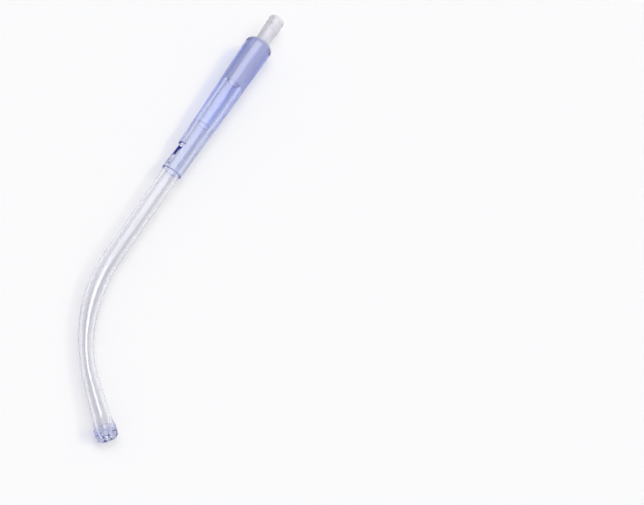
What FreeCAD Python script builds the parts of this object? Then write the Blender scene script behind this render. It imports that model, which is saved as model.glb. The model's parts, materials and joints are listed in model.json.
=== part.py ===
import FreeCAD, Part
import math
import os

# A rigid suction tip as used in wards and theatres, lying on a table on its side.
# It is four mouldings: a thick tapered handle, a bent clear shaft pushed into one end of it,
# a barbed connector for the suction tubing in the other end, and a small crowned tip
# pushed into the belled end of the shaft.
#
# Everything is drawn first along the handle: X runs along the handle's axis towards the tip,
# from 0 at the handle's butt end, and the shaft bends towards +Y in the XY plane.
# The whole tip is then laid down on the three places it would rest on.

V = FreeCAD.Vector

# Gap left all round in each glued socket
socket_gap = 0.03

# Handle
handle_length = 95.0
butt_d = 16.4
butt_round = 3.9
collar_wall = 0.97
collar_length = 11.0
rim_round = 0.35

# Height of the steps in the handle's bore that stop the shaft and the connector
stop_height = 0.3

# Thumb vent: a slotted hole in the shaft, bared by a sloping flat cut through the handle's wall
vent_turn = 40.0
vent_from_rim = 11.8
vent_length = 6.4
vent_width = 4.5
flat_from_rim = 3.0
flat_length = 14.0
flat_depth = 1.6
flat_slope = 5.2

# Shaft, outside the handle unless named otherwise
shaft_d = 10.2
shaft_wall = 1.5
shaft_insert = 33.0
straight_length = 56.5
bend_radius = 86.0
bend_angle = 49.5
tail_length = 28.5

# Where the shaft was drawn thinner in its bend, and where it grows again
neck_d = 7.7
neck_before_bend_end = 16.0
squeeze_length = 37.0
tail_d = 9.3
bell_d = 11.7
bell_length = 8.6
bell_mouth_length = 2.0
mouth_round = 0.25

# Tip, a crowned cap with a spigot
bell_wall = 1.12
spigot_length = 2.8
spigot_wall = 1.3
cap_length = 4.3
cap_round = 2.9
end_hole_d = 5.0
end_wall = 1.2

# Side eyes, each an arched window between two ribs
eye_count = 4
eye_rib = 0.8
eye_from_seam = 0.35
eye_to_end = 1.05
eye_corner = 1.2
eye_turn = 0.0

# Tubing connector, with barbs that a soft tube is pushed over
connector_d = 8.6
connector_wall = 1.1
connector_insert = 31.0
connector_length = 18.0
barb_count = 3
barb_height = 0.45
barb_ramp = 1.6
barb_land = 0.5
barb_gap = 1.3
nose_step = 0.2

# How far cutting shapes run past the material
overrun = 2.0

# Length of shaft between two neighbouring sections of its shape
section_step = 6.0

# How many places along the shaft are tried when it is laid down
rest_samples = 200


# Sizes that follow from those above
shaft_socket_d = shaft_d + 2 * socket_gap
collar_d = shaft_socket_d + 2 * collar_wall
connector_socket_d = connector_d + 2 * socket_gap
handle_bore_d = connector_d - 2 * stop_height
connector_bore_d = connector_d - 2 * connector_wall
tip_socket_d = bell_d - 2 * bell_wall
spigot_d = tip_socket_d - 2 * socket_gap
spigot_bore_d = spigot_d - 2 * spigot_wall
eye_width = spigot_bore_d * math.sin(math.pi / eye_count) - eye_rib
eye_length = cap_length - eye_to_end - eye_from_seam

# How far in from its square corner the middle of a quarter round of radius 1 lies
round_inset = 1 - math.sqrt(0.5)


def turned(face):
    """The solid that a profile in the XY plane sweeps round the X axis."""
    return face.revolve(V(0, 0, 0), V(1, 0, 0), 360)


def corner_round(corner, first_way, last_way, radius):
    """A quarter round in place of a square corner, as its start, middle and end."""
    inset = (first_way + last_way) * radius * round_inset
    return corner + first_way * radius, corner + inset, corner + last_way * radius


def outline(steps):
    """A closed flat profile through points and quarter rounds, in order."""
    edges, ends = [], []
    for step in steps:
        start, end = (step, step) if isinstance(step, FreeCAD.Vector) else (step[0], step[2])
        if ends:
            edges.append(Part.makeLine(ends[-1], start))
        if start is not end:
            edges.append(Part.Arc(*step).toShape())
        ends.append(end)
    edges.append(Part.makeLine(ends[-1], steps[0]))
    return Part.Face(Part.Wire(edges))


def rod(start, end, diameter):
    """A plain cylinder along the X axis."""
    return Part.makeCylinder(diameter / 2, end - start, V(start, 0, 0), V(1, 0, 0))


def rounded_slot(length, width, corner, depth):
    """A bar of rounded oblong section, length along X and width along Z, standing out along -Y."""
    bar = Part.makeBox(length, depth, width, V(-length / 2, -depth, -width / 2))
    limit = 0.499 * min(length, width)
    edges = [e for e in bar.Edges if abs(e.tangentAt(e.FirstParameter).y) > 0.99]
    return bar.makeFillet(min(corner, limit), edges)


def handle_blank():
    """The handle before its vent: a rounded butt, a long taper and a short straight collar."""
    butt_r, collar_r = butt_d / 2, collar_d / 2
    corner = V(0, butt_r, 0)
    rim_corner = V(handle_length, collar_r, 0)
    taper_end = V(handle_length - collar_length, collar_r, 0)
    butt_arc = corner_round(corner, V(0, -1, 0), V(1, 0, 0), butt_round)
    rim_arc = corner_round(rim_corner, V(-1, 0, 0), V(0, -1, 0), rim_round)
    return turned(outline([V(0, 0, 0), butt_arc, taper_end, rim_arc, V(handle_length, 0, 0)]))


def around_handle(shape, turn):
    """Turns a shape about the handle's axis, from the bend's outer side towards the top."""
    return shape.rotated(V(0, 0, 0), V(1, 0, 0), -turn)


def vent_hole():
    """The slotted cutter that opens the vent through the shaft's wall."""
    hole = rounded_slot(vent_length, vent_width, vent_width / 2, butt_d)
    hole.translate(V(handle_length - vent_from_rim, 0, 0))
    return around_handle(hole, vent_turn)


def vent_flat():
    """The cutter for the thumb's flat, whose floor slopes in towards the butt."""
    pad = Part.makeBox(flat_length, butt_d, collar_d, V(-flat_length / 2, -butt_d, -collar_d / 2))
    pad.rotate(V(0, 0, 0), V(0, 0, 1), -flat_slope)
    floor = collar_d / 2 - flat_depth
    pad.translate(V(handle_length - flat_from_rim - flat_length / 2, -floor, 0))
    return around_handle(pad, vent_turn)


def handle():
    """The handle with a socket in each end, the bore that joins them and the thumb's flat."""
    shaft_socket = rod(handle_length - shaft_insert, handle_length + overrun, shaft_socket_d)
    connector_socket = rod(-overrun, connector_insert, connector_socket_d)
    bore = rod(0, handle_length, handle_bore_d)
    inside = shaft_socket.fuse([connector_socket, bore])
    return handle_blank().cut([inside, vent_flat()])


# Stations run along the shaft's centre-line, from 0 at the handle's rim
bend_length = bend_radius * math.radians(bend_angle)
bend_end = straight_length + bend_length
mouth = bend_end + tail_length
neck_station = bend_end - neck_before_bend_end
bell_station = mouth - bell_length


def placed(station):
    """The place on the centre-line at a station, with X along it."""
    if station <= straight_length:
        spot, heading = V(handle_length + station, 0, 0), 0.0
    else:
        along = min(station, bend_end) - straight_length
        heading = along / bend_radius
        spot = V(handle_length + straight_length + bend_radius * math.sin(heading),
                 bend_radius * (1 - math.cos(heading)), 0)
        rest = max(station - bend_end, 0.0)
        spot = spot + V(math.cos(heading), math.sin(heading), 0) * rest
    return FreeCAD.Placement(spot, FreeCAD.Rotation(V(0, 0, 1), math.degrees(heading)))


def eased(share):
    """0 to 1 with a level start and end."""
    share = min(max(share, 0.0), 1.0)
    return share * share * (3 - 2 * share)


def outer_d(station):
    """The shaft's outside diameter up to the bell: drawn thin in the bend, then growing."""
    squeeze = eased((station - neck_station + squeeze_length) / squeeze_length)
    growth = eased((station - neck_station) / (bell_station - neck_station))
    return shaft_d + (neck_d - shaft_d) * squeeze + (tail_d - neck_d) * growth


def lumen_d(station):
    """The shaft's bore, which keeps the wall even and isn't widened by the bell."""
    return outer_d(station) - 2 * shaft_wall


def section(station, diameter):
    """A round section across the centre-line."""
    circle = Part.Wire(Part.makeCircle(diameter / 2, V(0, 0, 0), V(1, 0, 0)))
    circle.Placement = placed(station)
    return circle


def bent_rod(diameter_at):
    """The part of the shaft that bends, as one smooth skin over evenly spaced sections."""
    count = max(4, round(bend_length / section_step))
    stations = [straight_length + bend_length * i / count for i in range(count + 1)]
    return Part.makeLoft([section(s, diameter_at(s)) for s in stations], True, False)


def growth_side(diameter_at):
    """The outline of the shaft's straight end up to its bell, drawn along X from the bend."""
    length = bell_station - bend_end
    count = max(3, round(length / section_step))
    points = [V(length * i / count, diameter_at(bend_end + length * i / count) / 2, 0)
              for i in range(count + 1)]
    curve = Part.BSplineCurve()
    curve.interpolate(points)
    return curve.toShape(), points


def tail_rod(diameter_at, end, belled):
    """The shaft's straight end, turned from its outline, with or without the bell."""
    side, points = growth_side(diameter_at)
    start, top = points[0], points[-1]
    last = V(end - bend_end, top.y, 0)
    sides = [Part.makeLine(V(0, 0, 0), start), side]
    if belled:
        last = V(last.x, bell_d / 2, 0)
        flare_end = V(last.x - bell_mouth_length, last.y, 0)
        third = V((flare_end.x - top.x) / 3, 0, 0)
        flare = Part.BezierCurve()
        flare.setPoles([top, top + third, flare_end - third, flare_end])
        sides += [flare.toShape(), Part.makeLine(flare_end, last)]
    else:
        sides.append(Part.makeLine(top, last))
    sides += [Part.makeLine(last, V(last.x, 0, 0)), Part.makeLine(V(last.x, 0, 0), V(0, 0, 0))]
    tail = turned(Part.Face(Part.Wire(sides)))
    tail.Placement = placed(bend_end)
    return tail


def at_mouth(shape):
    """Carries a shape drawn along X from 0 to the bell's mouth."""
    shape.Placement = placed(mouth).multiply(shape.Placement)
    return shape


def shaft_rod(diameter_at, start, end, belled):
    """The whole length of the shaft as a solid bar."""
    straight = rod(start, handle_length + straight_length, diameter_at(0))
    return straight.fuse([bent_rod(diameter_at), tail_rod(diameter_at, end, belled)])


def shaft():
    """The clear bent tube, with the vent hole near its inner end and a socket in its bell."""
    start = handle_length - shaft_insert
    bar = shaft_rod(outer_d, start, mouth, True)
    lumen = shaft_rod(lumen_d, start - overrun, mouth + overrun, False)
    socket = at_mouth(rod(-spigot_length, overrun, tip_socket_d))
    lip = at_mouth(mouth_lip())
    return bar.cut([lumen, socket, vent_hole(), lip])


def mouth_lip():
    """What is taken off the outer edge of the bell's mouth to round it."""
    outer = bell_d / 2
    lip = corner_round(V(0, outer, 0), V(-1, 0, 0), V(0, -1, 0), mouth_round)
    inner = outer - mouth_round
    far = outer + overrun
    return turned(outline([V(-mouth_round, far, 0), lip, V(overrun, inner, 0), V(overrun, far, 0)]))


def cap_blank():
    """The tip's outside: a spigot, a short straight wall and a rounded crown with a flat end."""
    crown_r, spigot_r = bell_d / 2, spigot_d / 2
    seam = corner_round(V(0, crown_r, 0), V(0, -1, 0), V(1, 0, 0), mouth_round)
    crown = corner_round(V(cap_length, crown_r, 0), V(-1, 0, 0), V(0, -1, 0), cap_round)
    return turned(outline([
        V(-spigot_length, 0, 0), V(-spigot_length, spigot_r, 0), V(0, spigot_r, 0),
        seam, crown, V(cap_length, 0, 0),
    ]))


def eye(turn):
    """The cutter for one side eye, from the tip's axis out through its wall."""
    hole = rounded_slot(eye_length, eye_width, eye_corner, bell_d)
    hole.translate(V(eye_from_seam + eye_length / 2, 0, 0))
    return hole.rotated(V(0, 0, 0), V(1, 0, 0), turn)


def tip():
    """The crowned tip, open at the end and through a ring of side eyes."""
    cavity = rod(-spigot_length - overrun, cap_length - end_wall, spigot_bore_d)
    end_hole = rod(0, cap_length + overrun, end_hole_d)
    eyes = [eye(eye_turn + 360.0 * i / eye_count) for i in range(eye_count)]
    return at_mouth(cap_blank().cut([cavity, end_hole] + eyes))


def tubing_connector():
    """The pale barbed tube that the suction tubing is pushed over."""
    end, root_r = -connector_length, connector_d / 2
    crest_r = root_r + barb_height
    corners = [V(end, 0, 0), V(end, root_r - nose_step, 0)]
    for i in range(barb_count):
        foot = end + i * (barb_ramp + barb_land + barb_gap)
        crest = foot + barb_ramp
        if i > 0:
            corners.append(V(foot, root_r, 0))
        corners += [V(crest, crest_r, 0), V(crest + barb_land, crest_r, 0),
                    V(crest + barb_land, root_r, 0)]
    corners += [V(connector_insert, root_r, 0), V(connector_insert, 0, 0)]
    lumen = rod(end - overrun, connector_insert + overrun, connector_bore_d)
    return turned(outline(corners)).cut(lumen)


def resting_rotation():
    """The turn that lays the whole on its butt, on the outside of its bend and on its bell."""
    butt, butt_r = V(butt_round, 0, 0), butt_d / 2
    bell = placed(mouth - bell_mouth_length / 2).Base - butt
    bell_rise = bell_d / 2 - butt_r
    # The butt and the bell leave one slope free, and what reaches lowest between them sets it
    spots = [(V(handle_length - rim_round, 0, 0) - butt, collar_d / 2)]
    for i in range(rest_samples):
        station = bell_station * i / rest_samples
        spots.append((placed(station).Base - butt, outer_d(station) / 2))
    slopes = []
    for spot, radius in spots:
        share = spot.y / bell.y
        reach = spot.x - bell.x * share
        slopes.append((radius - butt_r - bell_rise * share) / reach)
    slope = max(slopes)
    lean = (bell_rise - slope * bell.x) / bell.y
    up = V(slope, lean, math.sqrt(1 - slope ** 2 - lean ** 2))
    return FreeCAD.Rotation(V(1, 0, 0), V(0, 1, 0), up, "ZXY").inverted()


def box_of(shapes):
    """The lowest and highest corners of a list of shapes."""
    boxes = [s.optimalBoundingBox(False) for s in shapes]
    low = V(min(b.XMin for b in boxes), min(b.YMin for b in boxes), min(b.ZMin for b in boxes))
    high = V(max(b.XMax for b in boxes), max(b.YMax for b in boxes), max(b.ZMax for b in boxes))
    return low, high


def resting_place(shapes):
    """The move that lays shapes down with the middle of their footprint on the origin."""
    turn = FreeCAD.Placement(V(0, 0, 0), resting_rotation())
    low, high = box_of([s.transformed(turn.Matrix, copy=True) for s in shapes])
    centre = (low + high) / 2
    return FreeCAD.Placement(V(-centre.x, -centre.y, -low.z), turn.Rotation)


def main():
    pieces = {
        "handle": handle(),
        "shaft": shaft(),
        "tip": tip(),
        "tubing_connector": tubing_connector(),
    }
    place = resting_place(pieces.values())
    os.makedirs("parts", exist_ok=True)
    for name, shape in pieces.items():
        laid = shape.transformed(place.Matrix, copy=True)
        laid.exportStep(f"parts/{name}.step")


main()
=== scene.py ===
import json
import math

import bpy
from bpy.props import FloatProperty, FloatVectorProperty, IntProperty, PointerProperty
from mathutils import Matrix, Vector


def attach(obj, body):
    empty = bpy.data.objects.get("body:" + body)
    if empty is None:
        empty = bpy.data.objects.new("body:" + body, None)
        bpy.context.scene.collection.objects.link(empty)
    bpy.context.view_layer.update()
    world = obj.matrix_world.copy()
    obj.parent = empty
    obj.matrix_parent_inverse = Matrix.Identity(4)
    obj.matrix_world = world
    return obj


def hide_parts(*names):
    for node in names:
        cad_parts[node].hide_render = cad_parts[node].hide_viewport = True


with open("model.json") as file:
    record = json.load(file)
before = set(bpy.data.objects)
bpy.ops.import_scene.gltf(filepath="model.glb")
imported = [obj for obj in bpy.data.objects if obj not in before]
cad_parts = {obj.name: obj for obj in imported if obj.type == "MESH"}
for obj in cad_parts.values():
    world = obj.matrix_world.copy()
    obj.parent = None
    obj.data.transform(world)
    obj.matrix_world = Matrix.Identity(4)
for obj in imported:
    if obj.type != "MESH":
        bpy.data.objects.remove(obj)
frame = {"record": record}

bl_info = {
    "name": "Suction Tip Workbench",
    "version": (1, 0, 0),
    "blender": (4, 5, 0),
    "location": "View3D > Sidebar > Suction Tip",
    "description": "Models a rigid suction tip for wards: handle, shaft, tip and tubing connector",
    "category": "Object",
}

# The only body, and the mount that fixes where the handle's axis lies
BODY = "root"
BARBS = next(m for m in frame["record"]["mounts"] if m["name"] == "tubing_barbs")

# The drawing's axes: the handle lies along X, and the shaft bends towards +Y
ALONG = Vector((1, 0, 0))
BACK = Vector((-1, 0, 0))
IN = Vector((0, -1, 0))

# Sides of a round wall and of a slot, and steps in a rounded corner and in the bell's flare
WALL_SIDES = 128
SLOT_SIDES = 64
CORNER_STEPS = 8
FLARE_STEPS = 16

# How long the faces are along each stretch of a wall
HANDLE_STEP = 0.0010
COLLAR_STEP = 0.0007
HIDDEN_STEP = 0.0020
SHAFT_STEP = 0.0008
LUMEN_STEP = 0.0010
BELL_LUMEN_STEP = 0.0015
TIP_STEP = 0.0004
CONNECTOR_STEP = 0.0015

# Points closer than the first are joined, and a length under the second counts as none
WELD = 2e-6
NO_LENGTH = 1e-7

# How far from its radius a face may lie and still be on a glued surface
GLUE_REACH = 0.00005

# Angle past which an edge stays crisp
CRISP = math.radians(28)

# What a clear and a cloudy surface let through of a lamp's light
CLEAR_FILM = (0.95, 0.95, 0.96)
CLOUDY_FILM = (0.93, 0.93, 0.93)

# How strongly the plastic bends light, in air and where it is glued to plastic
CLEAR_IOR = 1.57
GLUED_IOR = 1.003

# The values between which most of a noise lies
NOISE_MIDDLE = (0.35, 0.65)

# The bright patch overhead: the way to it, its spread along each axis, and where its edge fades
PATCH_WAY = (-0.322, -0.008, 0.947)
PATCH_SPREAD = (0.28, 0.62, 1.0)
PATCH_EDGE = (0.1, 0.5)

# How high the key lamp stands for each metre to the right, and how wide it looks
KEY_RISE = 0.9
KEY_WIDTH = math.radians(10)

# The table's side, and how far its top is under what lies on it
TABLE_SIDE = 8.0
TABLE_DROP = 0.0001

# The nearest and farthest things that the camera shows
NEAREST = 0.01
FARTHEST = 20

# How often light may be bent or mirrored by the nested clear walls, and spread by dull surfaces
CLEAR_BOUNCES = 128
DULL_BOUNCES = 8


def length(name, default, description):
    """A size in metres that a user would change."""
    return FloatProperty(
        name=name, description=description, default=default, min=0.0,
        unit="LENGTH", subtype="DISTANCE", precision=5,
    )


def angle(name, degrees, description):
    """An angle that a user would change."""
    return FloatProperty(
        name=name, description=description, default=math.radians(degrees), subtype="ANGLE",
    )


def colour(name, default, description):
    """A plain colour that a user would change."""
    return FloatVectorProperty(
        name=name, description=description, default=default, min=0.0, max=1.0,
        size=3, subtype="COLOR",
    )


class HandleSizes(bpy.types.PropertyGroup):
    """Sizes of the tapered handle and its vent."""

    length: length("Length", 0.095, "From the butt's end to the rim of the collar")
    butt_d: length("Butt diameter", 0.0164, "Thickest place of the handle")
    butt_round: length("Butt rounding", 0.0039, "Radius round the butt's edge")
    collar_d: length("Collar diameter", 0.0122, "Straight end round the shaft")
    collar_length: length("Collar length", 0.011, "Straight end before the taper starts")
    rim_round: length("Rim rounding", 0.00035, "Radius round the collar's edge")
    bore_d: length("Bore diameter", 0.0080, "Channel between the two sockets")
    socket_gap: length("Socket gap", 0.00003, "Room left all round for glue")
    vent_from_rim: length("Vent from rim", 0.0118, "From the rim to the middle of the thumb vent")
    vent_length: length("Vent length", 0.0064, "Vent along the handle")
    vent_width: length("Vent width", 0.0045, "Vent across the handle")
    vent_turn: angle("Vent turn", 40, "From the bend's outer side up towards the top")
    flat_from_rim: length("Flat from rim", 0.003, "From the rim to the thumb's flat")
    flat_length: length("Flat length", 0.014, "Flat along the handle")
    flat_depth: length("Flat depth", 0.0016, "Below the collar, at the flat's middle")
    flat_slope: angle("Flat slope", 5.2, "How much the flat falls towards the butt")


class ShaftSizes(bpy.types.PropertyGroup):
    """Sizes of the clear bent tube."""

    diameter: length("Diameter", 0.0102, "Outside, along the straight part")
    wall: length("Wall", 0.0015, "Wall, even all along")
    insert: length("Insert", 0.033, "Length hidden in the handle")
    straight: length("Straight part", 0.0565, "From the handle's rim to the bend")
    bend_radius: length("Bend radius", 0.086, "Of the centre-line")
    bend_angle: angle("Bend angle", 49.5, "How far the shaft turns")
    tail: length("Tail", 0.0285, "Straight part after the bend, with the bell")
    neck_d: length("Neck diameter", 0.0077, "Thinnest place, in the bend")
    neck_before_bend_end: length("Neck place", 0.016, "From the neck to the bend's end")
    squeeze: length("Squeeze length", 0.037, "Over which the shaft thins to its neck")
    tail_d: length("Tail diameter", 0.0093, "Where the bell starts")
    bell_d: length("Bell diameter", 0.0117, "Mouth of the bell")
    bell: length("Bell length", 0.0086, "From the start of the flare to the mouth")
    bell_mouth: length("Bell mouth", 0.002, "Straight end of the bell")
    mouth_round: length("Mouth rounding", 0.00025, "Radius round the mouth's edge")


class TipSizes(bpy.types.PropertyGroup):
    """Sizes of the crowned tip."""

    socket_d: length("Socket diameter", 0.00946, "Socket in the bell that holds the spigot")
    spigot_d: length("Spigot diameter", 0.00940, "Part pushed into the bell")
    spigot: length("Spigot length", 0.0028, "Part pushed into the bell")
    spigot_bore_d: length("Spigot bore", 0.0068, "Inside of the spigot")
    cap: length("Cap length", 0.0043, "Part that shows")
    cap_round: length("Crown", 0.0029, "Radius of the crown")
    end_hole_d: length("End hole", 0.0050, "Hole in the flat end")
    end_wall: length("End wall", 0.0012, "Thickness round the end hole")
    eye_count: IntProperty(name="Eyes", description="Side eyes", default=4, min=1)
    eye_width: length("Eye width", 0.00401, "Across the tip")
    eye_length: length("Eye length", 0.0029, "Along the tip")
    eye_from_seam: length("Eye from seam", 0.00035, "From the bell's mouth to the eye")
    eye_corner: length("Eye corner", 0.0012, "Corner radius of an eye")


class ConnectorSizes(bpy.types.PropertyGroup):
    """Sizes of the barbed tubing connector."""

    diameter: length("Diameter", 0.0086, "Outside of the plain tube")
    bore_d: length("Bore", 0.0064, "Inside")
    insert: length("Insert", 0.031, "Length hidden in the handle")
    shown: length("Length shown", 0.018, "From the butt to the open end")
    barb_count: IntProperty(name="Barbs", description="Number of barbs", default=3, min=1)
    barb_height: length("Barb height", 0.00045, "Of each crest")
    barb_ramp: length("Barb ramp", 0.0016, "Rising side")
    barb_land: length("Barb land", 0.0005, "Level crest")
    barb_gap: length("Barb gap", 0.0013, "Plain tube before the next barb")
    nose_step: length("Nose step", 0.0002, "How much thinner the open end is")


class Finishes(bpy.types.PropertyGroup):
    """Colours of the plastics."""

    handle: colour("Handle tint", (0.25, 0.37, 0.97), "What deep violet-blue plastic lets through")
    shaft: colour("Shaft tint", (0.80, 0.80, 0.90), "What deep clear plastic lets through")
    tip: colour("Tip tint", (0.36, 0.43, 0.94), "What the tip's plastic lets through")
    connector: colour("Connector", (0.84, 0.83, 0.87), "Cloudy natural plastic")


class StageSettings(bpy.types.PropertyGroup):
    """Camera, floor and lamps."""

    azimuth: angle("Azimuth", 120.77, "Way the camera looks; 0 is along +Y")
    elevation: angle("Elevation", 68, "Camera above the table")
    distance: length("Distance", 0.7173, "From the camera to the table at the picture's middle")
    aim: FloatVectorProperty(
        name="Aim", description="Place on the table at the picture's middle",
        default=(-0.0205, 0.0702), size=2, unit="LENGTH",
    )
    lens: FloatProperty(name="Lens", description="Focal length in millimetres", default=73.45)
    floor: colour("Floor", (0.92, 0.92, 0.93), "Pale table")
    world: FloatProperty(name="Room light", description="Strength of the even light", default=0.40)
    key_power: FloatProperty(
        name="Key lamp", description="Soft lamp at the right", default=1.7,
    )
    top_power: FloatProperty(
        name="Soft box", description="Large bright patch above that draws the streak", default=3.8,
    )


def deselect():
    """Nothing is selected and nothing is in edit mode."""
    if bpy.context.object and bpy.context.object.mode != "OBJECT":
        bpy.ops.object.mode_set(mode="OBJECT")
    bpy.ops.object.select_all(action="DESELECT")


def pick(piece):
    """Only this piece is selected and active."""
    deselect()
    piece.select_set(True)
    bpy.context.view_layer.objects.active = piece


def select_points(piece, indices):
    """Selects these vertices in edit mode, and nothing else."""
    bpy.ops.mesh.select_all(action="DESELECT")
    bpy.ops.object.mode_set(mode="OBJECT")
    for i in indices:
        piece.data.vertices[i].select = True
    bpy.ops.object.mode_set(mode="EDIT")


def evenly(first, last, step):
    """Places from first to last, as evenly spaced as step allows, with both ends."""
    count = max(1, round(abs(last - first) / step))
    return [first + (last - first) * i / count for i in range(count + 1)]


def level_stretch(radius, first, last, step):
    """Profile points of a stretch that keeps one radius."""
    return [(station, radius) for station in evenly(first, last, step)]


def quarter_round(station, radius, first_way, last_way, size):
    """Profile points of a quarter round in place of a square corner."""
    centre = Vector((station, radius, 0)) + (first_way + last_way) * size
    points = []
    for i in range(CORNER_STEPS + 1):
        turn = math.pi / 2 * i / CORNER_STEPS
        spot = centre - last_way * size * math.cos(turn) - first_way * size * math.sin(turn)
        points.append((spot.x, spot.y))
    return points


def eased(share):
    """0 to 1 with a level start and end."""
    share = min(max(share, 0.0), 1.0)
    return share * share * (3 - 2 * share)


def straight_line(station):
    """Centre and heading on a straight axis, for pieces that aren't bent."""
    return Vector((station, 0, 0)), 0.0


def drawn_round(name, profile, line=straight_line):
    """A closed wall drawn ring by ring through (station, radius) points along a centre-line."""
    deselect()
    station, radius = profile[0]
    centre, heading = line(station)
    bpy.ops.mesh.primitive_circle_add(
        vertices=WALL_SIDES, radius=radius, location=centre,
        rotation=(math.pi / 2, 0, math.pi / 2 + heading),
    )
    piece = bpy.context.object
    piece.name = piece.data.name = name
    bpy.ops.object.transform_apply()
    bpy.ops.object.mode_set(mode="EDIT")
    bpy.ops.mesh.select_mode(type="VERT")
    bpy.ops.mesh.select_all(action="SELECT")
    for station, next_radius in profile[1:]:
        next_centre, next_heading = line(station)
        bpy.ops.mesh.extrude_edges_move(
            TRANSFORM_OT_translate={"value": next_centre - centre}
        )
        if next_heading != heading:
            bpy.ops.transform.rotate(
                value=heading - next_heading, orient_axis="Z", center_override=next_centre
            )
        if next_radius != radius:
            share = next_radius / radius
            bpy.ops.transform.resize(value=(share,) * 3, center_override=next_centre)
        centre, heading, radius = next_centre, next_heading, next_radius
    last_ring = range((len(profile) - 1) * WALL_SIDES, len(profile) * WALL_SIDES)
    select_points(piece, [*range(WALL_SIDES), *last_ring])
    bpy.ops.mesh.bridge_edge_loops()
    bpy.ops.mesh.select_all(action="SELECT")
    bpy.ops.mesh.normals_make_consistent(inside=False)
    deselect()
    return piece


def slot_cutter(name, size_along, size_across, corner, depth):
    """A bar of rounded oblong section along X and Z, standing out along -Y from the axis."""
    deselect()
    bpy.ops.mesh.primitive_cylinder_add(
        vertices=SLOT_SIDES, radius=corner, depth=depth, location=(0, -depth / 2, 0),
        rotation=(math.pi / 2, 0, 0),
    )
    bar = bpy.context.object
    bar.name = name
    bpy.ops.object.transform_apply()
    spread_x, spread_z = size_along / 2 - corner, size_across / 2 - corner
    for way, spread in ((0, spread_x), (2, spread_z)):
        if spread < NO_LENGTH:
            continue
        for side in (-1, 1):
            near = [v.index for v in bar.data.vertices if v.co[way] * side > NO_LENGTH]
            bpy.ops.object.mode_set(mode="EDIT")
            select_points(bar, near)
            move = [0, 0, 0]
            move[way] = spread * side
            bpy.ops.transform.translate(value=move)
            bpy.ops.object.mode_set(mode="OBJECT")
    deselect()
    return bar


def turn_about_handle(cutter, turn):
    """Turns a cutter about the handle's axis, from the bend's outer side towards the top."""
    pick(cutter)
    cutter.rotation_euler.x = -turn
    bpy.ops.object.transform_apply()


def cut(piece, cutter):
    """Takes the cutter's shape out of the piece, and removes the cutter."""
    pick(piece)
    step = piece.modifiers.new("Cut", "BOOLEAN")
    step.operation = "DIFFERENCE"
    step.solver = "EXACT"
    step.object = cutter
    bpy.ops.object.modifier_apply(modifier=step.name)
    bpy.data.objects.remove(cutter)


def mark_glued(piece, radius, first, last, spot=Vector((0, 0, 0)), heading=0.0, bare=None):
    """Marks the faces round a straight axis, at this radius and in this stretch, as glued."""
    marks = piece.data.attributes.get("glued")
    if marks is None:
        marks = piece.data.attributes.new("glued", "FLOAT", "FACE")
    way = Vector((math.cos(heading), math.sin(heading), 0))
    for face in piece.data.polygons:
        along = (face.center - spot).dot(way)
        off = (face.center - spot - way * along).length - radius
        if abs(off) < GLUE_REACH and first < along < last and not (bare and bare(face.center)):
            marks.data[face.index].value = 1.0


def smooth(piece):
    """Joins what lies together and smooths all but the crisp edges."""
    pick(piece)
    bpy.ops.object.mode_set(mode="EDIT")
    bpy.ops.mesh.select_all(action="SELECT")
    bpy.ops.mesh.remove_doubles(threshold=WELD)
    bpy.ops.object.mode_set(mode="OBJECT")
    bpy.ops.object.shade_smooth_by_angle(angle=CRISP)


def centre_line(sizes, handle_length):
    """The shaft's centre-line as a function of the station, which is 0 at the handle's rim."""
    bend_end = sizes.straight + sizes.bend_radius * sizes.bend_angle

    def place(station):
        if station <= sizes.straight:
            return Vector((handle_length + station, 0, 0)), 0.0
        heading = (min(station, bend_end) - sizes.straight) / sizes.bend_radius
        start = Vector((handle_length + sizes.straight, sizes.bend_radius, 0))
        spot = start + Vector((math.sin(heading), -math.cos(heading), 0)) * sizes.bend_radius
        past = max(station - bend_end, 0.0)
        return spot + Vector((math.cos(heading), math.sin(heading), 0)) * past, heading

    return place


def mouth_station(sizes):
    """The station of the bell's mouth."""
    return sizes.straight + sizes.bend_radius * sizes.bend_angle + sizes.tail


def laid_down():
    """The move from the drawing to where the tip rests on the table."""
    scene = bpy.context.scene
    handle, shaft, connector = scene.handle_sizes, scene.shaft_sizes, scene.connector_sizes
    slope = -BARBS["axis"][2]
    mouth = mouth_station(shaft)
    bell = centre_line(shaft, handle.length)(mouth - shaft.bell_mouth / 2)[0]
    bell = bell - Vector((handle.butt_round, 0, 0))
    lean = ((shaft.bell_d - handle.butt_d) / 2 - slope * bell.x) / bell.y
    up = Vector((slope, lean, math.sqrt(1 - slope ** 2 - lean ** 2)))
    ahead = (ALONG - slope * up).normalized()
    turn = Matrix((ahead, up.cross(ahead), up))
    pitch = connector.barb_ramp + connector.barb_land + connector.barb_gap
    barbs_length = pitch * (connector.barb_count - 1) + connector.barb_land
    middle = Vector((connector.barb_ramp + barbs_length / 2 - connector.shown, 0, 0))
    return Matrix.Translation(Vector(BARBS["pos_m"]) - turn @ middle) @ turn.to_4x4()


def finish_piece(piece, node, material):
    """Lays a piece down where its node is, and gives it its plastic."""
    pick(piece)
    piece.matrix_world = laid_down()
    bpy.ops.object.transform_apply()
    smooth(piece)
    piece.data.materials.clear()
    piece.data.materials.append(material)
    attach(piece, BODY)
    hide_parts(node)
    deselect()


def new_material(name):
    """An empty node material, with its tree and its output."""
    material = bpy.data.materials.new(name)
    material.use_nodes = True
    tree = material.node_tree
    tree.nodes.clear()
    return material, tree, tree.nodes.new("ShaderNodeOutputMaterial")


def add_node(tree, kind, **values):
    """A node with some of its inputs set by name."""
    made = tree.nodes.new(kind)
    for name, value in values.items():
        made.inputs[name.replace("_", " ")].default_value = value
    return made


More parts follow.
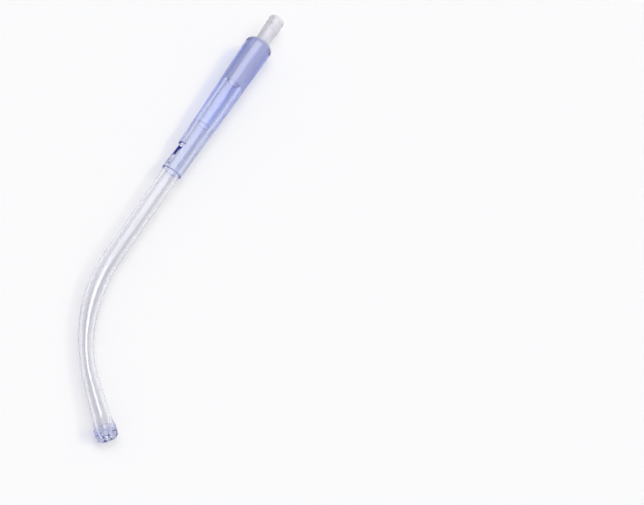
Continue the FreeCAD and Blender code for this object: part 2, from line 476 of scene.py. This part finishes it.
def map_range(tree, source, given, wanted, kind="LINEAR"):
    """Turns the given range of values into the wanted one."""
    mapped = add_node(
        tree, "ShaderNodeMapRange", From_Min=given[0], From_Max=given[1],
        To_Min=wanted[0], To_Max=wanted[1],
    )
    mapped.interpolation_type = kind
    tree.links.new(source, mapped.inputs["Value"])
    return mapped.outputs["Result"]


def stretched_noise(tree, scale, stretch, detail):
    """Noise in the piece's own coordinates, stretched along the handle."""
    where = tree.nodes.new("ShaderNodeTexCoord")
    mapping = add_node(tree, "ShaderNodeMapping", Scale=(1 / stretch, 1, 1))
    noise = add_node(tree, "ShaderNodeTexNoise", Scale=scale, Detail=detail)
    tree.links.new(where.outputs["Object"], mapping.inputs["Vector"])
    tree.links.new(mapping.outputs["Vector"], noise.inputs["Vector"])
    return noise.outputs["Fac"]


def light_bending_plastic(tree, film, transmission):
    """A plastic's shader, which bends light, but hardly where it is glued to plastic."""
    plastic = add_node(tree, "ShaderNodeBsdfPrincipled", Transmission_Weight=transmission)
    plastic.inputs["Base Color"].default_value = (*film, 1)
    glued = tree.nodes.new("ShaderNodeAttribute")
    glued.attribute_name = "glued"
    bending = map_range(tree, glued.outputs["Fac"], (0, 1), (CLEAR_IOR, GLUED_IOR))
    tree.links.new(bending, plastic.inputs["IOR"])
    return plastic


def add_haze(tree, plastic, scale, roughness):
    """Lets the polish vary a little from place to place."""
    haze = stretched_noise(tree, scale, stretch=3, detail=4)
    tree.links.new(map_range(tree, haze, NOISE_MIDDLE, roughness), plastic.inputs["Roughness"])


def add_bump(tree, plastic, noise, strength, height):
    """Raises and lowers the surface a little by a noise."""
    bump = add_node(tree, "ShaderNodeBump", Strength=strength, Distance=height)
    tree.links.new(noise, bump.inputs["Height"])
    tree.links.new(bump.outputs["Normal"], plastic.inputs["Normal"])


def let_lamps_through(tree, plastic, film):
    """Lets rays from lamps pass the surface, dimmed by a film, so that what is inside is lit."""
    path = tree.nodes.new("ShaderNodeLightPath")
    window = add_node(tree, "ShaderNodeBsdfTransparent", Color=(*film, 1))
    either = tree.nodes.new("ShaderNodeMixShader")
    tree.links.new(path.outputs["Is Shadow Ray"], either.inputs[0])
    tree.links.new(plastic.outputs["BSDF"], either.inputs[1])
    tree.links.new(window.outputs["BSDF"], either.inputs[2])
    return either.outputs["Shader"]


def clear_plastic(name, film, tint, density, roughness, waviness):
    """Polished see-through plastic, tinted by its depth, with faint flow lines and handling haze."""
    material, tree, output = new_material(name)
    plastic = light_bending_plastic(tree, film, transmission=1.0)
    add_haze(tree, plastic, scale=220, roughness=roughness)
    flow = stretched_noise(tree, scale=300, stretch=12, detail=1)
    add_bump(tree, plastic, flow, strength=waviness, height=0.0002)
    depth = add_node(tree, "ShaderNodeVolumeAbsorption", Color=(*tint, 1), Density=density)
    surface = let_lamps_through(tree, plastic, CLEAR_FILM)
    tree.links.new(surface, output.inputs["Surface"])
    tree.links.new(depth.outputs["Volume"], output.inputs["Volume"])
    return material


def cloudy_plastic(name, tint):
    """Soft natural plastic that lets light through but hardly any shapes."""
    material, tree, output = new_material(name)
    plastic = light_bending_plastic(tree, tint, transmission=0.7)
    add_haze(tree, plastic, scale=260, roughness=(0.28, 0.42))
    grain = stretched_noise(tree, scale=900, stretch=1, detail=2)
    add_bump(tree, plastic, grain, strength=0.15, height=0.0001)
    surface = let_lamps_through(tree, plastic, CLOUDY_FILM)
    tree.links.new(surface, output.inputs["Surface"])
    return material


def handle_outside(s):
    """The handle's profile from the butt's face to the rim: rounding, taper and collar."""
    butt_r, collar_r = s.butt_d / 2, s.collar_d / 2
    taper_end = s.length - s.collar_length
    taper_length = taper_end - s.butt_round
    profile = quarter_round(0, butt_r, IN, ALONG, s.butt_round)
    profile += [(x, butt_r + (collar_r - butt_r) * (x - s.butt_round) / taper_length)
                for x in evenly(s.butt_round, taper_end, HANDLE_STEP)[1:]]
    profile += level_stretch(collar_r, taper_end, s.length - s.rim_round, COLLAR_STEP)[1:-1]
    profile += quarter_round(s.length, collar_r, BACK, IN, s.rim_round)
    return profile


def flat_place(s):
    """The flat's middle along the handle, its height there over the axis, and the way it faces."""
    middle = s.length - s.flat_from_rim - s.flat_length / 2
    way = Vector((0, -math.cos(s.vent_turn), math.sin(s.vent_turn)))
    return middle, s.collar_d / 2 - s.flat_depth, way


def flat_cutter(s):
    """The cutter for the thumb's flat, whose floor slopes in towards the butt."""
    deselect()
    bpy.ops.mesh.primitive_cube_add(
        size=1, location=(0, -s.butt_d / 2, 0), scale=(s.flat_length, s.butt_d, s.collar_d),
    )
    pad = bpy.context.object
    pad.name = "flat_cutter"
    bpy.ops.object.transform_apply()
    pad.rotation_euler.z = -s.flat_slope
    middle, floor, _ = flat_place(s)
    pad.location = (middle, -floor, 0)
    bpy.ops.object.transform_apply()
    turn_about_handle(pad, s.vent_turn)
    return pad


class HandleOperator(bpy.types.Operator):
    """Models the handle with its two sockets, bore and thumb's flat"""

    bl_idname = "suction_tip.handle"
    bl_label = "Handle"

    def execute(self, context):
        scene = context.scene
        s, shaft, connector = scene.handle_sizes, scene.shaft_sizes, scene.connector_sizes
        shaft_socket_r = shaft.diameter / 2 + s.socket_gap
        connector_socket_r = connector.diameter / 2 + s.socket_gap
        inner = s.length - shaft.insert
        profile = handle_outside(s)
        profile += level_stretch(shaft_socket_r, s.length, inner, HANDLE_STEP)
        profile += level_stretch(s.bore_d / 2, inner, connector.insert, HIDDEN_STEP)
        profile += level_stretch(connector_socket_r, connector.insert, 0, HIDDEN_STEP)
        piece = drawn_round("suction_handle", profile)
        cut(piece, flat_cutter(s))
        mark_glued(piece, shaft_socket_r, inner, s.length)
        mark_glued(piece, connector_socket_r, 0, connector.insert)
        plastic = clear_plastic(
            "tinted_handle_plastic", film=(0.93, 0.945, 0.985), tint=scene.finishes.handle,
            density=64, roughness=(0.04, 0.09), waviness=0.02,
        )
        finish_piece(piece, "handle", plastic)
        return {"FINISHED"}


def shaft_outside(s):
    """The shaft's outside radius as a function of the station."""
    bend_end = s.straight + s.bend_radius * s.bend_angle
    neck = bend_end - s.neck_before_bend_end
    bell_start = mouth_station(s) - s.bell

    def radius(station):
        squeeze = eased((station - neck + s.squeeze) / s.squeeze)
        growth = eased((station - neck) / (bell_start - neck))
        return (s.diameter + (s.neck_d - s.diameter) * squeeze + (s.tail_d - s.neck_d) * growth) / 2

    return radius


def shaft_profile(s, handle, tip):
    """The shaft's profile, along its outside to the bell's mouth and back through its lumen."""
    outside = shaft_outside(s)
    mouth = mouth_station(s)
    bell_start = mouth - s.bell
    flare = s.bell - s.bell_mouth
    grow = (s.bell_d - s.tail_d) / 2
    stretches = (-s.insert, -handle.flat_from_rim - handle.flat_length,
                 -handle.flat_from_rim, 0, s.straight, bell_start)
    profile = [(-s.insert, outside(-s.insert))]
    for first, last in zip(stretches, stretches[1:]):
        profile += [(x, outside(x)) for x in evenly(first, last, SHAFT_STEP)[1:]]
    profile += [(bell_start + flare * i / FLARE_STEPS, s.tail_d / 2 + grow * eased(i / FLARE_STEPS))
                for i in range(1, FLARE_STEPS + 1)]
    profile += quarter_round(mouth, s.bell_d / 2, BACK, IN, s.mouth_round)
    profile += [(mouth, tip.socket_d / 2), (mouth - tip.spigot, tip.socket_d / 2)]
    inside = [*evenly(mouth - tip.spigot, bell_start, BELL_LUMEN_STEP),
              *evenly(bell_start, s.straight, LUMEN_STEP)[1:],
              *evenly(s.straight, -s.insert, LUMEN_STEP)[1:]]
    profile += [(x, outside(min(x, bell_start)) - s.wall) for x in inside]
    return profile


def vent_cutter(s):
    """The slotted cutter for the vent's hole in the shaft."""
    hole = slot_cutter("vent_cutter", s.vent_length, s.vent_width, s.vent_width / 2, s.butt_d)
    hole.location.x = s.length - s.vent_from_rim
    pick(hole)
    bpy.ops.object.transform_apply()
    turn_about_handle(hole, s.vent_turn)
    return hole


def score_along_flat(piece, s):
    """Draws edges on the shaft along the flat's border, so that what is bare ends crisply."""
    middle, floor, way = flat_place(s)
    pick(piece)
    for face in piece.data.polygons:
        face.select = abs(face.center.x - middle) < s.flat_length / 2 and face.center.dot(way) > 0
    bpy.ops.object.mode_set(mode="EDIT")
    bpy.ops.mesh.bisect(
        plane_co=ALONG * middle + way * floor, plane_no=way - ALONG * math.tan(s.flat_slope),
    )
    bpy.ops.object.mode_set(mode="OBJECT")


def bared_by_flat(s):
    """Tells of a place whether the flat took away the handle's wall there."""
    middle, floor, way = flat_place(s)

    def bare(spot):
        past = spot.x - middle
        return abs(past) < s.flat_length / 2 and spot.dot(way) > floor + past * math.tan(s.flat_slope)

    return bare


class ShaftOperator(bpy.types.Operator):
    """Models the clear bent shaft with its bell and the vent's hole"""

    bl_idname = "suction_tip.shaft"
    bl_label = "Shaft"

    def execute(self, context):
        scene = context.scene
        s, handle, tip = scene.shaft_sizes, scene.handle_sizes, scene.tip_sizes
        line = centre_line(s, handle.length)
        piece = drawn_round("suction_shaft", shaft_profile(s, handle, tip), line)
        cut(piece, vent_cutter(handle))
        score_along_flat(piece, handle)
        inner, bare = handle.length - s.insert, bared_by_flat(handle)
        mark_glued(piece, s.diameter / 2, inner, handle.length, bare=bare)
        spot, heading = line(mouth_station(s))
        mark_glued(piece, tip.socket_d / 2, -tip.spigot, 0, spot, heading)
        plastic = clear_plastic(
            "clear_shaft_plastic", film=(0.99, 0.99, 0.995), tint=scene.finishes.shaft,
            density=110, roughness=(0.01, 0.04), waviness=0.006,
        )
        finish_piece(piece, "shaft", plastic)
        return {"FINISHED"}


def tip_profile(s, shaft):
    """The tip's profile, from the spigot out over the cap and back through its hollow."""
    crown_r, bore_r = shaft.bell_d / 2, s.spigot_bore_d / 2
    inner_end = s.cap - s.end_wall
    profile = level_stretch(s.spigot_d / 2, -s.spigot, 0, TIP_STEP)
    profile += quarter_round(0, crown_r, IN, ALONG, shaft.mouth_round)
    profile += quarter_round(s.cap, crown_r, BACK, IN, s.cap_round)
    profile += [(s.cap, s.end_hole_d / 2), (inner_end, s.end_hole_d / 2), (inner_end, bore_r)]
    profile += level_stretch(bore_r, inner_end, -s.spigot, TIP_STEP)[1:]
    return profile


def cut_eyes(piece, s, depth):
    """Cuts the ring of side eyes through the cap's wall."""
    for i in range(s.eye_count):
        eye = slot_cutter("eye_cutter", s.eye_length, s.eye_width, s.eye_corner, depth)
        eye.location.x = s.eye_from_seam + s.eye_length / 2
        eye.rotation_euler.x = 2 * math.pi * i / s.eye_count
        pick(eye)
        bpy.ops.object.transform_apply()
        cut(piece, eye)


class TipOperator(bpy.types.Operator):
    """Models the crowned tip with its end hole and side eyes"""

    bl_idname = "suction_tip.tip"
    bl_label = "Tip"

    def execute(self, context):
        scene = context.scene
        s, shaft, handle = scene.tip_sizes, scene.shaft_sizes, scene.handle_sizes
        piece = drawn_round("suction_end", tip_profile(s, shaft))
        cut_eyes(piece, s, shaft.bell_d)
        mark_glued(piece, s.spigot_d / 2, -s.spigot, 0)
        spot, heading = centre_line(shaft, handle.length)(mouth_station(shaft))
        pick(piece)
        piece.location = spot
        piece.rotation_euler.z = heading
        bpy.ops.object.transform_apply()
        plastic = clear_plastic(
            "tinted_tip_plastic", film=(0.98, 0.98, 0.985), tint=scene.finishes.tip,
            density=110, roughness=(0.02, 0.07), waviness=0.02,
        )
        finish_piece(piece, "tip", plastic)
        return {"FINISHED"}


def connector_profile(s):
    """The connector's profile, over its barbs and along the plain tube, and back through its bore."""
    root_r = s.diameter / 2
    crest_r = root_r + s.barb_height
    profile = [(-s.shown, root_r - s.nose_step)]
    for i in range(s.barb_count):
        foot = -s.shown + i * (s.barb_ramp + s.barb_land + s.barb_gap)
        crest = foot + s.barb_ramp
        if i > 0:
            profile.append((foot, root_r))
        profile += [(crest, crest_r), (crest + s.barb_land, crest_r), (crest + s.barb_land, root_r)]
    profile += level_stretch(root_r, profile[-1][0], s.insert, CONNECTOR_STEP)[1:]
    profile += level_stretch(s.bore_d / 2, s.insert, -s.shown, CONNECTOR_STEP)
    return profile


class ConnectorOperator(bpy.types.Operator):
    """Models the barbed connector for the suction tubing"""

    bl_idname = "suction_tip.connector"
    bl_label = "Tubing connector"

    def execute(self, context):
        s = context.scene.connector_sizes
        piece = drawn_round("suction_tubing_connector", connector_profile(s))
        mark_glued(piece, s.diameter / 2, 0, s.insert)
        plastic = cloudy_plastic("cloudy_connector_plastic", context.scene.finishes.connector)
        finish_piece(piece, "tubing_connector", plastic)
        return {"FINISHED"}


def lay_table(tint):
    """The pale, dull table that the tip lies on."""
    deselect()
    bpy.ops.mesh.primitive_plane_add(size=TABLE_SIDE, location=(0, 0, -TABLE_DROP))
    table = bpy.context.object
    table.name = "table_top"
    material, tree, output = new_material("pale_table")
    paint = add_node(tree, "ShaderNodeBsdfPrincipled", Roughness=0.9, Specular_IOR_Level=0.2)
    paint.inputs["Base Color"].default_value = (*tint, 1)
    tree.links.new(paint.outputs["BSDF"], output.inputs["Surface"])
    table.data.materials.append(material)


def light_room(scene, room, patch):
    """Even light all round, with an oval bright patch overhead that draws the long streaks."""
    scene.world = bpy.data.worlds.new("studio")
    scene.world.use_nodes = True
    tree = scene.world.node_tree
    background = tree.nodes["Background"]
    background.inputs["Color"].default_value = (1, 1, 1, 1)
    where = tree.nodes.new("ShaderNodeTexCoord")
    placed = tree.nodes.new("ShaderNodeMapping")
    placed.inputs["Scale"].default_value = [1 / size for size in PATCH_SPREAD]
    placed.inputs["Location"].default_value = [-at / size for at, size in zip(PATCH_WAY, PATCH_SPREAD)]
    ball = tree.nodes.new("ShaderNodeTexGradient")
    ball.gradient_type = "SPHERICAL"
    tree.links.new(where.outputs["Generated"], placed.inputs["Vector"])
    tree.links.new(placed.outputs["Vector"], ball.inputs["Vector"])
    strength = map_range(tree, ball.outputs["Fac"], PATCH_EDGE, (room, patch), "SMOOTHSTEP")
    tree.links.new(strength, background.inputs["Strength"])


def hang_key_lamp(place, way, power):
    """A soft lamp far off this way, which shows in no mirroring or clear surface."""
    deselect()
    bpy.ops.object.light_add(type="SUN", location=place)
    lamp = bpy.context.object
    lamp.name = "key_lamp"
    lamp.rotation_euler = way.to_track_quat("Z", "Y").to_euler()
    lamp.data.energy = power
    lamp.data.angle = KEY_WIDTH
    lamp.visible_glossy = lamp.visible_transmission = False


def place_camera(scene, place, ahead, lens):
    """The camera at this place, looking ahead."""
    bpy.ops.object.camera_add(location=place)
    camera = bpy.context.object
    camera.rotation_euler = ahead.to_track_quat("-Z", "Y").to_euler()
    camera.data.lens = lens
    camera.data.clip_start, camera.data.clip_end = NEAREST, FARTHEST
    scene.camera = camera


def let_light_travel(scene):
    """Lets light through all the nested clear walls, and shows its colours as they are."""
    scene.view_settings.view_transform = "Standard"
    scene.cycles.max_bounces = scene.cycles.transmission_bounces = CLEAR_BOUNCES
    scene.cycles.transparent_max_bounces = scene.cycles.glossy_bounces = CLEAR_BOUNCES
    scene.cycles.diffuse_bounces = DULL_BOUNCES


class StageOperator(bpy.types.Operator):
    """Sets the table, the light and the camera"""

    bl_idname = "suction_tip.stage"
    bl_label = "Stage"

    def execute(self, context):
        scene, s = context.scene, context.scene.stage_settings
        level = Vector((-math.sin(s.azimuth), math.cos(s.azimuth), 0))
        right = Vector((level.y, -level.x, 0))
        up = Vector((0, 0, 1))
        aim = Vector((*s.aim, 0))
        ahead = level * math.cos(s.elevation) - up * math.sin(s.elevation)
        lay_table(s.floor)
        light_room(scene, s.world, s.top_power)
        hang_key_lamp(aim + right + up, right + up * KEY_RISE, s.key_power)
        place_camera(scene, aim - ahead * s.distance, ahead, s.lens)
        let_light_travel(scene)
        return {"FINISHED"}


class SuctionTipPanel(bpy.types.Panel):
    """Lists the steps that model the suction tip"""

    bl_idname = "VIEW3D_PT_suction_tip"
    bl_label = "Suction Tip"
    bl_space_type = "VIEW_3D"
    bl_region_type = "UI"
    bl_category = "Suction Tip"

    def draw(self, context):
        for step in STEPS:
            self.layout.operator(step.bl_idname)


STEPS = (StageOperator, HandleOperator, ShaftOperator, TipOperator, ConnectorOperator)
GROUPS = {
    "handle_sizes": HandleSizes,
    "shaft_sizes": ShaftSizes,
    "tip_sizes": TipSizes,
    "connector_sizes": ConnectorSizes,
    "finishes": Finishes,
    "stage_settings": StageSettings,
}


def register():
    for cls in (*GROUPS.values(), *STEPS, SuctionTipPanel):
        bpy.utils.register_class(cls)
    for name, group in GROUPS.items():
        setattr(bpy.types.Scene, name, PointerProperty(type=group))


def unregister():
    for name in GROUPS:
        delattr(bpy.types.Scene, name)
    for cls in reversed((*GROUPS.values(), *STEPS, SuctionTipPanel)):
        bpy.utils.unregister_class(cls)


def main():
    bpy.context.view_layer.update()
    register()
    bpy.ops.suction_tip.stage()
    bpy.ops.suction_tip.handle()
    bpy.ops.suction_tip.shaft()
    bpy.ops.suction_tip.tip()
    bpy.ops.suction_tip.connector()


if __name__ == "__main__":
    main()
